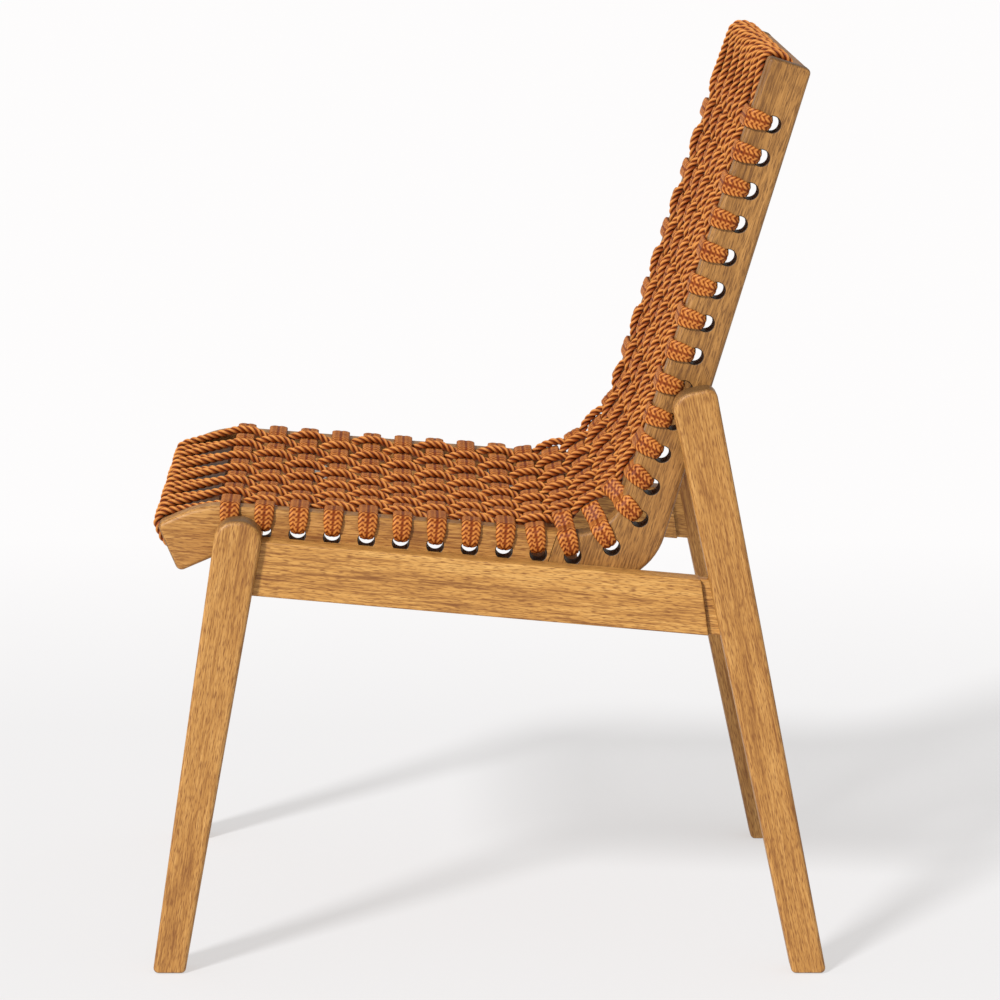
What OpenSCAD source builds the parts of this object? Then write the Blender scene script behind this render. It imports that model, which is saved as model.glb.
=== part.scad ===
// Side chair: two wooden leg frames outside two L-shaped seat-and-back frames,
// with a seat and back woven from lengthwise ropes and flat braided straps.
// Millimetres, +Z up, front towards -Y, origin on the floor under the middle.

/* [Overall] */
// Width over the outer faces of the legs
overall_width = 500; // [460:5:560]
// Height of the seat edge line where it meets the line of the back
corner_z = 406; // [396:1:416]
// How far behind the origin that meeting point lies
corner_y = 108; // [104:1:112]
// Slope of the seat down to the rear, in degrees
seat_slope = 4.4; // [4:0.1:5]
// Lean of the back from upright, in degrees
back_lean = 17.5; // [16:0.1:18.5]

/* [Seat and back frames] */
// Thickness of the L-shaped frames from side to side
frame_thick = 25; // [22:1:28]
// Width of the L-shaped frames as seen from the side
frame_width = 45; // [43:1:47]
// Width of a stile at its top end
stile_top_width = 40; // [38:1:42]
// Taper of a stile between its front and rear edges, in degrees
stile_taper = 1; // [0.6:0.1:1.2]
// Straight seat edge, from the meeting point to the start of the front bend
seat_run = 350; // [345:1:352]
// Radius of the top edge at the front bend
bend_radius = 90; // [80:1:100]
// Angle of the front bend, in degrees
bend_angle = 27.9; // [26:0.1:29]
// Straight nose in front of the bend
nose_run = 25; // [20:1:28]
// Width of the nose at its front end
nose_width = 48.5; // [45:0.5:50]
// Length of the back from the meeting point to its top end
back_run = 460; // [455:1:465]
// Radius of the inner side of the knee
knee_inner = 43; // [38:1:46]
// Radius of the outer side of the knee
knee_outer = 60; // [50:1:70]
// Distance from the meeting point to the joint between seat rail and stile
joint_run = 48; // [46:1:50]
// Distance of the strap holes from the edge that carries the weave
hole_depth = 21.5; // [18:0.1:22]
// Diameter of the strap holes
hole_d = 15; // [14:0.5:16]

/* [Leg frames] */
// Thickness of a leg from side to side
leg_thick = 30; // [28:1:32]
// Thickness of the side rail from side to side
rail_thick = 26; // [24:1:28]
// How far the legs stand out from the outer face of the side rail
leg_proud = 9; // [7:0.5:10]
// Slope of the side rail down to the rear, in degrees
rail_slope = 5; // [4.5:0.1:5.5]
// Height of the side rail
rail_height = 51; // [48:0.5:54]
// Distance of the rail's top below the meeting point
rail_drop = 28.6; // [27:0.1:30]
// Width of a front leg at the floor
front_foot_width = 30; // [27:0.5:32]
// Width of a rear leg at the floor
rear_foot_width = 32; // [29:0.5:34]

/* [Weave] */
// Number of straps across the straight seat, up to the knee
seat_straps = 11; // [11:1:11]
// Number of straps across the back, above the knee
back_straps = 13; // [13:1:13]
// Spacing of the straps
strap_pitch = 31.6; // [31:0.1:32]
// Spacing of the strap holes round the knee
knee_pitch = 37.2; // [35:0.1:38]
// Width of a strap
strap_width = 18; // [16:0.5:19]
// Thickness of a strap
strap_thick = 4.4; // [4:0.1:4.6]
// Number of ropes running from the front to the top
rope_count = 12; // [12:2:12]
// Spacing of the ropes
rope_pitch = 33; // [32:0.5:33]
// Diameter of a rope
rope_d = 7.8; // [7:0.1:8]
// Radius of the ropes' curve between seat and back
rope_knee = 115; // [105:1:120]
// Sag of the weave in the middle of the chair
sag = 7; // [3:0.5:8]

/* [Hidden] */
$fn = 64;
outer_x = overall_width / 2;
leg_in_x = outer_x - leg_thick;
rail_out_x = outer_x - leg_proud;
rail_in_x = rail_out_x - rail_thick;
frame_in_x = rail_in_x - frame_thick;
strap_count = seat_straps + 1 + back_straps;

// Directions in the side view, as [y, z]
seat_fwd = [-cos(seat_slope), sin(seat_slope)];
seat_up = [sin(seat_slope), cos(seat_slope)];
back_up = [sin(back_lean), cos(back_lean)];
back_fwd = [-cos(back_lean), sin(back_lean)];
rail_fwd = [-cos(rail_slope), sin(rail_slope)];
rail_up = [sin(rail_slope), cos(rail_slope)];
corner = [corner_y, corner_z];
knee_turn = 90 - back_lean + seat_slope;
knee_open = (180 - knee_turn) / 2;

// The bend at the front of the seat
bend_start = corner + seat_run * seat_fwd;
bend_centre = bend_start - bend_radius * seat_up;
nose_angle = bend_angle - seat_slope;
nose_fwd = [-cos(nose_angle), -sin(nose_angle)];
nose_up = [-sin(nose_angle), cos(nose_angle)];
nose_start = bend_centre + bend_radius * nose_up;

// Holes: the frame's middle line, measured from where the knee starts
knee_mid = knee_inner + hole_depth;
knee_tangent = knee_inner / tan(knee_open);
knee_centre = corner + knee_tangent * seat_fwd + knee_inner * seat_up;
knee_arc = knee_mid * knee_turn * PI / 180;
knee_first = 1.4;

// Legs, as [y at the floor, y gained per mm of height] for each edge
front_leg_front = [-312, 0.144];
front_leg_back = [front_leg_front[0] + front_foot_width, 0.177];
front_leg_top = 425.5;
front_leg_tilt = 0;
front_leg_rounds = [19, 19];
rear_leg_back = [311.5, -0.2025];
rear_leg_front = [rear_leg_back[0] - rear_foot_width, -0.2225];
rear_leg_top = 545.5;
rear_leg_tilt = 12;
rear_leg_rounds = [18, 10];
foot_round = 4;

// How far a rounding's arc crosses the edges it joins
cross_over = 0.02;

// Joints between rail and legs. The rail butts against the front leg and stops
// short of the rear leg, where only its tongue goes on.
rail_end = [245.3, -0.1486];
rail_end_round = 3.5;
tongue_thick = 14;
tenon_depth = 16;
tongue_trim = 0.5;

// Bars that carry the ropes, set a little inside the edges of the L-frames
front_bar_inset = 0.5;
front_bar_height = 24;
front_bar_depth = 52;
front_bar_slope = 15;
front_peg_in = 13;
bar_round = 6;
crest_bar_inset = 1.5;
crest_bar_depth = 18.5;
crest_bar_height = 34;
cover_depth = 12;
cover_height = 42;
peg_r = 7;
peg_len = 12;

// Hidden stretcher under the rear of the seat
stretcher_run = 25;
stretcher_width = 50;
stretcher_thick = 14;

// Bolts through the L-frames into the side rails, by distance from the corner
bolt_runs = [80, 270];
bolt_depth = 35;
bolt_r = 3;
bolt_head_r = 7.5;
bolt_head = 3;
bolt_len = frame_thick + 15;

// Weave levels above the frame edge, along the seat's or the back's normal
weave_level = 0;
rope_wave = 3.5;
strap_wave = 2.6;
strap_rest = strap_thick / 2 + 0.1;
hole_band = 10;
hole_lift = 3.2;
strap_tail = 16;

straps = [for (k = [1:strap_count]) str("strap_", k < 10 ? "0" : "", k)];
ropes = [for (i = [1:rope_count]) str("rope_", i < 10 ? "0" : "", i)];

function unit(v) = v / norm(v);
function left_of(p, q) = let (d = unit(q - p)) [-d[1], d[0]];

// Offset direction at point i of a chain, longer at a corner to keep the width
function miter(pts, i) =
    let (n = len(pts) - 1,
         a = left_of(pts[max(i - 1, 0)], pts[max(i, 1)]),
         b = left_of(pts[min(i, n - 1)], pts[min(i + 1, n)]))
    (a + b) / (1 + a * b);

// A band of even thickness along a chain of points
module band(pts, thick) {
    n = len(pts) - 1;
    polygon(concat([for (i = [0:n]) pts[i] + miter(pts, i) * thick / 2],
                   [for (i = [n:-1:0]) pts[i] - miter(pts, i) * thick / 2]));
}

// Stands a side-view outline between two distances from the middle
module slab(from_x, to_x) {
    translate([from_x, 0, 0]) rotate([90, 0, 90]) linear_extrude(to_x - from_x) children();
}

// Makes the left copy of a right-hand part
module side(left) {
    mirror([left ? 1 : 0, 0, 0]) children();
}

// The fillet between two rays from the origin, at angles a and b. It reaches a
// little past the rays, and its arc crosses them instead of only touching.
module corner_web(a, b, r) {
    half = (b - a) / 2;
    t = r / tan(half);
    middle = [cos(a + half), sin(a + half)];
    difference() {
        polygon([-middle, t * [cos(a), sin(a)], r / sin(half) * middle, t * [cos(b), sin(b)]]);
        translate(r / sin(half) * middle) circle(r + cross_over, $fn = r > 30 ? 180 : 64);
    }
}

// Side view of the seat rail: straight strip, front bend and nose
module seat_rail_outline() {
    reach = bend_radius * tan(bend_angle / 2);
    bend = corner + (seat_run + reach) * seat_fwd;
    nose = bend + (reach + nose_run) * nose_fwd;
    joint = corner + joint_run * seat_fwd;
    // Where the two undersides meet
    under = corner - frame_width * seat_up;
    hollow = under + (nose_width + (under - nose) * nose_up) / -(seat_fwd * nose_up) * seat_fwd;
    difference() {
        union() {
            polygon([joint, bend, nose, nose - nose_width * nose_up, hollow,
                     joint - frame_width / (back_up * seat_up) * back_up]);
            translate(hollow)
                corner_web(180 + nose_angle, 360 - seat_slope, bend_radius - frame_width);
        }
        translate(bend) corner_web(180 + nose_angle, 360 - seat_slope, bend_radius);
        translate(nose) corner_web(nose_angle - 90, nose_angle, 5);
        translate(nose - nose_width * nose_up) corner_web(nose_angle, nose_angle + 90, 5);
    }
}

// Side view of the back stile, with the knee and its short end under the seat
module back_stile_outline() {
    rear_lean = back_lean - stile_taper;
    rear_up = [sin(rear_lean), cos(rear_lean)];
    top = back_run * back_up;
    top_rear = top - stile_top_width * back_fwd;
    outer = top_rear - (top_rear * seat_up + frame_width) / (rear_up * seat_up) * rear_up;
    translate(corner) difference() {
        union() {
            polygon([[0, 0], joint_run * seat_fwd,
                     joint_run * seat_fwd - frame_width / (back_up * seat_up) * back_up,
                     outer, top_rear, top]);
            corner_web(90 - back_lean, 180 - seat_slope, knee_inner);
        }
        translate(outer) corner_web(90 - rear_lean, 180 - seat_slope, knee_outer);
        translate(top) corner_web(-90 - back_lean, -back_lean, 4);
        translate(top_rear) corner_web(180 - back_lean, 270 - rear_lean, 5);
    }
}

// Centre of strap hole k, and the point of the weave that its strap leads to
function hole_s(k) = k <= seat_straps
    ? knee_first - (seat_straps - k) * strap_pitch
    : k == seat_straps + 1
        ? knee_first + knee_pitch
        : knee_first + 2 * knee_pitch + (k - seat_straps - 2) * strap_pitch;
function frame_mid(s) = s < 0
    ? corner + (knee_tangent - s) * seat_fwd - hole_depth * seat_up
    : s > knee_arc
        ? corner + (knee_tangent + s - knee_arc) * back_up - hole_depth * back_fwd
        : let (a = -90 - seat_slope + s / knee_mid * 180 / PI)
          knee_centre + knee_mid * [cos(a), sin(a)];

module strap_holes() {
    for (k = [1:strap_count]) let (p = hole_point(k))
        translate([frame_in_x - 1, p[0], p[1]]) rotate([0, 90, 0])
            cylinder(h = frame_thick + 2, d = hole_d);
}

// The weave's own line in side view: nose, front bend, seat, knee and back.
// t is the distance from where the rope's knee starts, lift is above the edge.
rope_tangent = rope_knee / tan(knee_open);
rope_arc = rope_knee * knee_turn * PI / 180;
rope_centre = corner + rope_tangent * seat_fwd + rope_knee * seat_up;
bend_t = rope_tangent - seat_run;
nose_t = bend_t - bend_radius * bend_angle * PI / 180;
function weave_point(t, lift) = t > rope_arc
    ? corner + (rope_tangent + t - rope_arc) * back_up + lift * back_fwd
    : t > 0
        ? let (a = -90 - seat_slope + t / rope_knee * 180 / PI)
          rope_centre + (rope_knee - lift) * [cos(a), sin(a)]
        : t > bend_t
            ? corner + (rope_tangent - t) * seat_fwd + lift * seat_up
            : t > nose_t
                ? let (a = 90 - seat_slope + (bend_t - t) / bend_radius * 180 / PI)
                  bend_centre + (bend_radius + lift) * [cos(a), sin(a)]
                : nose_start + (nose_t - t) * nose_fwd + lift * nose_up;

// Place of strap k along the weave: even spacing between the straight parts
last_seat = seat_straps - 2;
first_back = seat_straps + 5;
function straight_t(k) = k <= seat_straps
    ? hole_s(k) - knee_tangent + rope_tangent
    : rope_arc - rope_tangent + knee_tangent + hole_s(k) - knee_arc;
function strap_t(k) = k > last_seat && k < first_back
    ? straight_t(last_seat)
      + (k - last_seat) / (first_back - last_seat) * (straight_t(first_back) - straight_t(last_seat))
    : straight_t(k);
function hole_point(k) = strap_t(k) < bend_t
    ? weave_point(strap_t(k), -hole_depth)
    : frame_mid(hole_s(k));
function strap_up(k) = unit(weave_point(strap_t(k), 0) - hole_point(k));
function strap_reach(k) = norm(weave_point(strap_t(k), 0) - hole_point(k));

// Ropes are numbered from the left; the rope at the far left starts over strap 1
function rope_x(i) = (i - (rope_count + 1) / 2) * rope_pitch;
function rope_over(i, k) = (i + k) % 2 == 0;

// The weave sags towards the middle, and less near the bars that hold the ropes
function ease(k) = min(1, 0.1 + 0.3 * min(k, strap_count + 1 - k));
function level(x, k) = weave_level - sag * ease(k) * (1 - pow(x / frame_in_x, 2));

// Legs
function edge_y(edge, z) = edge[0] + edge[1] * z;

// Where an edge meets the line through point p that rises at the angle slope
function edge_meet(edge, p, slope) =
    let (z = (p[1] + tan(slope) * (edge[0] - p[0])) / (1 - tan(slope) * edge[1]))
    [edge_y(edge, z), z];

module leg_outline(front, back, top, tilt, rounds) {
    middle = [(edge_y(front, top) + edge_y(back, top)) / 2, top];
    top_front = edge_meet(front, middle, tilt);
    top_back = edge_meet(back, middle, tilt);
    difference() {
        polygon([[edge_y(front, 0), 0], [edge_y(back, 0), 0], top_back, top_front]);
        translate([edge_y(front, 0), 0]) corner_web(0, 90 - atan(front[1]), foot_round);
        translate([edge_y(back, 0), 0]) corner_web(90 - atan(back[1]), 180, foot_round);
        translate(top_front) corner_web(-90 - atan(front[1]), tilt, rounds[0]);
        translate(top_back) corner_web(180 + tilt, 270 - atan(back[1]), rounds[1]);
    }
}

// Strip along the rail, from the front leg's rear edge moved by a distance in y
// to another edge at the rear
module rail_strip(front_move, rear_edge, trim) {
    top = corner - (rail_drop + trim) * rail_up;
    bottom = corner - (rail_drop + rail_height - trim) * rail_up;
    intersection() {
        polygon([top + 600 * rail_fwd, top - 400 * rail_fwd,
                 bottom - 400 * rail_fwd, bottom + 600 * rail_fwd]);
        polygon([[edge_y(front_leg_back, 0) + front_move, 0],
                 [edge_y(front_leg_back, 600) + front_move, 600],
                 [edge_y(rear_edge, 600), 600], [edge_y(rear_edge, 0), 0]]);
    }
}

module rail_board() {
    difference() {
        rail_strip(0, rail_end, 0);
        translate(edge_meet(rail_end, corner - rail_drop * rail_up, -rail_slope))
            corner_web(180 - rail_slope, 270 - atan(rail_end[1]), rail_end_round);
    }
}

module tenon_strip() {
    mid = (rail_in_x + rail_out_x) / 2;
    slab(mid - tongue_thick / 2, mid + tongue_thick / 2)
        rail_strip(-tenon_depth, rear_leg_front + [tenon_depth, 0], tongue_trim);
}

module front_leg() color("#C08F4F") difference() {
    slab(leg_in_x, outer_x)
        leg_outline(front_leg_front, front_leg_back, front_leg_top, front_leg_tilt, front_leg_rounds);
    tenon_strip();
}

module rear_leg() color("#C08F4F") difference() {
    slab(leg_in_x, outer_x)
        leg_outline(rear_leg_front, rear_leg_back, rear_leg_top, rear_leg_tilt, rear_leg_rounds);
    tenon_strip();
}

module side_rail() color("#BC8B4C") difference() {
    union() {
        slab(rail_in_x, rail_out_x) rail_board();
        tenon_strip();
    }
    bolt_shanks();
}

module seat_rail() color("#C59552") difference() {
    slab(frame_in_x, rail_in_x) seat_rail_outline();
    strap_holes();
    bolt_shanks();
    front_peg();
}

module back_stile() color("#C59552") difference() {
    slab(frame_in_x, rail_in_x) back_stile_outline();
    strap_holes();
    crest_peg();
}

// A bar of rounded section: depth along u, height along v, corners rounded
module bar_section(depth, height, r) {
    difference() {
        square([depth, height]);
        corner_web(0, 90, r);
        translate([depth, 0]) corner_web(90, 180, r);
        translate([depth, height]) corner_web(180, 270, r);
        translate([0, height]) corner_web(270, 360, r);
    }
}

// Front bar, in the nose of the seat: its section's lower front corner first
// Its top falls away to the rear, clear of the ropes.
front_bar_at = nose_start + (nose_run - front_bar_inset) * nose_fwd
    - (front_bar_inset + front_bar_height) * nose_up;
module front_section() {
    translate(front_bar_at) rotate(nose_angle) difference() {
        bar_section(front_bar_depth, front_bar_height, bar_round);
        translate([bar_round, front_bar_height]) rotate(-front_bar_slope)
            square([front_bar_depth, front_bar_height]);
    }
}
front_bar_mid = front_bar_at - front_peg_in * nose_fwd + front_bar_height / 2 * nose_up;
module front_peg() {
    translate([0, front_bar_mid[0], front_bar_mid[1]]) rotate([0, 90, 0])
        cylinder(h = 2 * (frame_in_x + peg_len), r = peg_r, center = true);
}
module front_bar() color("#B98748") {
    slab(-frame_in_x, frame_in_x) front_section();
    front_peg();
}

// Crest bar, under the top ends of the stiles
crest_at = corner + (back_run - crest_bar_inset - crest_bar_height) * back_up
    - crest_bar_inset * back_fwd;
module crest_section() {
    translate(crest_at) rotate(-back_lean)
        bar_section(crest_bar_depth, crest_bar_height, bar_round);
}
crest_mid = crest_at - crest_bar_depth / 2 * back_fwd + crest_bar_height / 2 * back_up;
module crest_peg() {
    translate([0, crest_mid[0], crest_mid[1]]) rotate([0, 90, 0])
        cylinder(h = 2 * (frame_in_x + peg_len), r = peg_r, center = true);
}
module crest_bar() color("#B98748") {
    slab(-frame_in_x, frame_in_x) crest_section();
    crest_peg();
}

module crest_cover() color("#C59552") {
    at = corner + (back_run - cover_height - 1) * back_up
        - (stile_top_width - cover_depth) * back_fwd;
    slab(-frame_in_x, frame_in_x) translate(at) rotate(-back_lean)
        bar_section(cover_depth, cover_height, 3);
}

module rear_stretcher() color("#B98748") {
    at = corner + (stretcher_run + stretcher_width) * seat_fwd - frame_width * seat_up;
    slab(-frame_in_x, frame_in_x) translate(at) rotate(-seat_slope)
        bar_section(stretcher_width, stretcher_thick, 3);
}

module bolt_shanks() {
    for (run = bolt_runs) let (p = corner + run * seat_fwd - bolt_depth * seat_up)
        translate([frame_in_x, p[0], p[1]]) rotate([0, 90, 0])
            cylinder(h = bolt_len, r = bolt_r);
}

module frame_bolts() color("#8A8A86") for (left = [false, true]) side(left) {
    bolt_shanks();
    for (run = bolt_runs) let (p = corner + run * seat_fwd - bolt_depth * seat_up)
        translate([frame_in_x - bolt_head, p[0], p[1]]) rotate([0, 90, 0])
            cylinder(h = bolt_head, r = bolt_head_r);
}

// Points of strap k for x >= 0, as [x, height above the hole]
function strap_chain(k) =
    let (edge = strap_reach(k))
    concat(
        [for (i = [rope_count / 2 + 1:rope_count], e = [-1, 1])
            [rope_x(i) + 5 * e, edge + level(rope_x(i), k) + (rope_over(i, k) ? -1 : 1) * strap_wave]],
        strap_fold());
function strap_fold() = [[frame_in_x + 3, hole_depth + strap_rest],
                         [rail_in_x + strap_rest, hole_depth + strap_rest],
                         [rail_in_x + strap_rest, hole_lift - strap_thick / 2]];
function mirrored(pts) = [for (i = [len(pts) - 1:-1:0]) [-pts[i][0], pts[i][1]]];

// The left half repeats the right with its own over and under order
function left_chain(k) = mirrored(concat(
    [for (i = [rope_count / 2:-1:1], e = [1, -1])
        [-rope_x(i) - 5 * e, strap_reach(k) + level(rope_x(i), k)
            + (rope_over(i, k) ? -1 : 1) * strap_wave]],
    strap_fold()));

module strap(k) color("#B5692F") {
    p = hole_point(k);
    up = strap_up(k);
    tilt = atan2(-up[0], up[1]);
    translate([0, p[0], p[1]]) rotate([tilt, 0, 0]) {
        strap_layer(strap_width) band(concat(left_chain(k), strap_chain(k)), strap_thick);
        for (left = [false, true]) side(left) {
            strap_layer(hole_band) band([[rail_in_x + strap_thick, hole_lift],
                                         [frame_in_x - strap_thick, hole_lift]], strap_thick);
            strap_layer(strap_width) band([[frame_in_x - strap_rest, strap_tail],
                                           [frame_in_x - strap_rest, hole_lift - strap_thick / 2]],
                                          strap_thick);
        }
    }
}
module strap_layer(width) {
    translate([0, width / 2, 0]) rotate([90, 0, 0]) linear_extrude(width) children();
}

// Middle line of rope i in side view, from under the front bar to behind the crest bar
rope_r = rope_d / 2;
wrap = bar_round + rope_r;
function arc_points(c, r, a, b, n) =
    [for (j = [0:n]) c + r * [cos(a + (b - a) * j / n), sin(a + (b - a) * j / n)]];
function front_corner(u, v) = front_bar_at - u * nose_fwd + v * nose_up;
function crest_corner(u, v) = crest_at - u * back_fwd + v * back_up;
function rope_chain(i) =
    let (h = 7.5)
    concat(
        [front_corner(front_bar_depth - bar_round, -rope_r)],
        arc_points(front_corner(bar_round, bar_round), wrap, 270 + nose_angle, 180 + nose_angle, 4),
        arc_points(front_corner(bar_round, front_bar_height - bar_round), wrap,
                   180 + nose_angle, 90 + nose_angle, 4),
        [for (k = [1:strap_count], e = [-1, 1])
            weave_point(strap_t(k) + e * h, level(rope_x(i), k) + (rope_over(i, k) ? 1 : -1) * rope_wave)],
        arc_points(crest_corner(bar_round, crest_bar_height - bar_round), wrap,
                   180 - back_lean, 90 - back_lean, 4),
        arc_points(crest_corner(crest_bar_depth - bar_round, crest_bar_height - bar_round), wrap,
                   90 - back_lean, -back_lean, 4),
        [crest_corner(crest_bar_depth + rope_r, bar_round)]);

module rope(i) color("#A95C25") {
    slab(rope_x(i) - rope_r, rope_x(i) + rope_r) band(rope_chain(i), rope_d);
}

side(true) front_leg();  // front_leg_left
side(false) front_leg();  // front_leg_right
side(true) rear_leg();  // rear_leg_left
side(false) rear_leg();  // rear_leg_right
side(true) side_rail();  // side_rail_left
side(false) side_rail();  // side_rail_right
side(true) seat_rail();  // seat_rail_left
side(false) seat_rail();  // seat_rail_right
side(true) back_stile();  // back_stile_left
side(false) back_stile();  // back_stile_right
front_bar();
crest_bar();
crest_cover();
rear_stretcher();
frame_bolts();
for (k = [1:strap_count]) strap(k);
for (i = [1:rope_count]) rope(i);
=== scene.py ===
import math

import bpy
import numpy as np
from mathutils import Matrix


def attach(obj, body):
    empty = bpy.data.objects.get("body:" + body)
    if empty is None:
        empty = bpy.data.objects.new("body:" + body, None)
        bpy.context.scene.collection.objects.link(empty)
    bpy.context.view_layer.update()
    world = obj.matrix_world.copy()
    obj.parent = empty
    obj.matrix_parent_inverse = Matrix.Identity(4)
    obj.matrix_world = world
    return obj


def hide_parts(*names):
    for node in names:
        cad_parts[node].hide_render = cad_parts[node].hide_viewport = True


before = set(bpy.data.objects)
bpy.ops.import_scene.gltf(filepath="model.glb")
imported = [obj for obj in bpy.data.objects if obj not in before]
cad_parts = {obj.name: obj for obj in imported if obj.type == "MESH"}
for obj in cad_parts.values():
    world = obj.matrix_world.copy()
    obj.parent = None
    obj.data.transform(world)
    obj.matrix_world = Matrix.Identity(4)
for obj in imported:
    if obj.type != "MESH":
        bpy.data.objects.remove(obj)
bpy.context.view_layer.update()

# ---------------------------------------------------------------------------
# Camera. A long lens a little above the crest, looking at the chair's +X side.
# ---------------------------------------------------------------------------
yaw, pitch, roll = math.radians(1.291), math.radians(10.71), math.radians(0.374)
ahead = np.array([-math.cos(yaw) * math.cos(pitch), math.sin(yaw) * math.cos(pitch), -math.sin(pitch)])
camera_at = (3.9657, -0.0778, 1.1489)
level_right = np.cross(ahead, [0.0, 0.0, 1.0])
level_right /= np.linalg.norm(level_right)
level_up = np.cross(level_right, ahead)
placed = np.eye(4)
placed[:3, 0] = math.cos(roll) * level_right + math.sin(roll) * level_up
placed[:3, 1] = math.cos(roll) * level_up - math.sin(roll) * level_right
placed[:3, 2] = -ahead
placed[:3, 3] = camera_at
lens = bpy.data.cameras.new("side_camera")
lens.sensor_width = 36.0
lens.lens = 150.5
camera = bpy.data.objects.new("side_camera", lens)
camera.matrix_world = Matrix(placed.tolist())
bpy.context.scene.collection.objects.link(camera)
bpy.context.scene.camera = camera

# ---------------------------------------------------------------------------
# Legs. Four solid hardwood legs, 30 mm thick and tapered to the floor, with
# rounded crowns and eased edges, sanded and given a satin clear finish.
# ---------------------------------------------------------------------------
# In mm: how far a leg's two faces are from the chair's middle, and its eased edge and foot radii
LEG_IN, LEG_OUT, LEG_EASE, FOOT_R = 220.0, 250.0, 4.0, 4.5
# Each straight edge of a leg: its y at the floor, and how far it leans per mm of height
FRONT_EDGE, FRONT_BACK = (-312.0, 0.144), (-282.0, 0.177)
REAR_EDGE, REAR_BACK = (279.5, -0.2225), (311.5, -0.2025)


def edge_y(edge, z):
    """Where a leg's straight edge is at height z: its foot plus its slope times z."""
    return edge[0] + edge[1] * z


def outline(corners, inset):
    """A closed side view, anticlockwise, as points [y, z] in mm. Every straight edge moves inwards by inset
    times its own share. Each corner becomes an arc whose radius shrinks by the inset where it is convex and
    grows by it where it is hollow. A corner is (y, z, radius, share of the next edge, points)."""
    at = np.array([c[:2] for c in corners], float)
    out = np.roll(at, -1, 0) - at
    out /= np.linalg.norm(out, axis=1, keepdims=True)
    into = np.roll(out, 1, 0)
    share = np.array([c[3] for c in corners]) * inset
    before = np.roll(share, 1)
    turn = np.arctan2(into[:, 0] * out[:, 1] - into[:, 1] * out[:, 0], (into * out).sum(1))
    left = np.stack([-into[:, 1], into[:, 0]], 1)
    bent = np.abs(turn) > 1e-6
    slide = np.where(bent, (before * np.cos(turn) - share) / np.where(bent, np.sin(turn), 1.0), 0.0)
    corner = at + left * before[:, None] + into * slide[:, None]
    radius = np.array([c[2] for c in corners], float)
    radius = np.where(turn > 0, np.maximum(radius - np.minimum(share, before), 0.05), radius + share)
    radius = np.where(bent, radius, 0.0)
    hand = np.sign(turn)
    centre = corner - into * (radius * np.tan(np.abs(turn) / 2))[:, None] + left * (hand * radius)[:, None]
    ring = []
    for given, middle, size, side, swing, normal in zip(corners, centre, radius, hand, turn, left):
        a = np.linspace(0.0, swing, given[4]) if given[4] > 1 else np.array([0.0])
        spoke = -side * size * normal
        ring.append(middle + np.stack([spoke[0] * np.cos(a) - spoke[1] * np.sin(a),
                                       spoke[0] * np.sin(a) + spoke[1] * np.cos(a)], 1))
    return np.concatenate(ring)


def plate(corners, x_in, x_out, edge, holes=(), ends=None, hole_r=7.5, rim=1.1):
    """A flat board between two distances from the chair's middle, in mm. Its outline is carried round the
    thickness: inset by edge times (1 - sin a) at a depth of edge times (1 - cos a) from each face. Holes are
    circles carried through in the same way, and each face is cut in two along the line of their centres."""
    a = np.linspace(0, np.pi / 2, 6)
    # A narrow flat band inside each rounded edge keeps the shading of the face level
    band, hole_points = 0.6, 24
    inset = np.concatenate([[edge + band], edge * (1 - np.sin(a))])
    depth = np.concatenate([[0.0], edge * (1 - np.cos(a))])
    rings = [np.insert(outline(corners, i), 0, x_in + d, 1) for i, d in zip(inset, depth)]
    rings += [np.insert(outline(corners, i), 0, x_out - d, 1) for i, d in zip(inset[::-1], depth[::-1])]
    rings = np.array(rings)
    tall, round_ = rings.shape[:2]
    points, faces = [rings.reshape(-1, 3)], grid_faces(tall, round_, 0)
    first = np.arange(round_)
    last = first + (tall - 1) * round_
    if not len(holes):
        faces += [list(last), list(first[::-1])]
        return np.concatenate(points), faces
    holes = np.array(holes, float)
    run = np.gradient(holes, axis=0)
    lead = np.arctan2(run[:, 1], run[:, 0])
    swing = lead[:, None] + np.arange(hole_points) * 2 * np.pi / hole_points
    spoke = np.stack([np.cos(swing), np.sin(swing)], 2)
    reach = hole_r + np.concatenate([[rim + band], rim * (1 - np.sin(a))])
    deep = np.concatenate([[0.0], rim * (1 - np.cos(a))])
    reach, place = np.concatenate([reach, reach[::-1]]), np.concatenate([x_in + deep, (x_out - deep)[::-1]])
    left_side, right_side = [], []
    start, half = tall * round_, hole_points // 2
    for centre, way in zip(holes, spoke):
        wall = np.zeros((len(reach), hole_points, 3))
        wall[:, :, 0] = place[:, None]
        wall[:, :, 1:] = centre + way[None] * reach[:, None, None]
        points.append(wall.reshape(-1, 3))
        faces += [f[::-1] for f in grid_faces(len(reach), hole_points, start)]
        outer = start + (len(reach) - 1) * hole_points
        down, back = np.arange(half, -1, -1), np.arange(hole_points, half - 1, -1) % hole_points
        left_side.append((outer + down, start + down))
        right_side.append((outer + back, start + back))
        start += len(reach) * hole_points
    flat = rings[0][:, 1:]
    p, q = (int(np.argmin(np.linalg.norm(flat - np.array(e), axis=1))) for e in ends)
    far = np.arange(q, q + (p - q) % round_ + 1) % round_
    near = np.arange(p, p + (q - p) % round_ + 1) % round_
    for face, base in ((0, last), (1, first)):
        over = np.concatenate([s[face] for s in left_side] + [base[far]])
        under = np.concatenate([s[face] for s in right_side[::-1]] + [base[near]])
        faces += [list(over if face == 0 else over[::-1]), list(under if face == 0 else under[::-1])]
    return np.concatenate(points), faces


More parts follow.
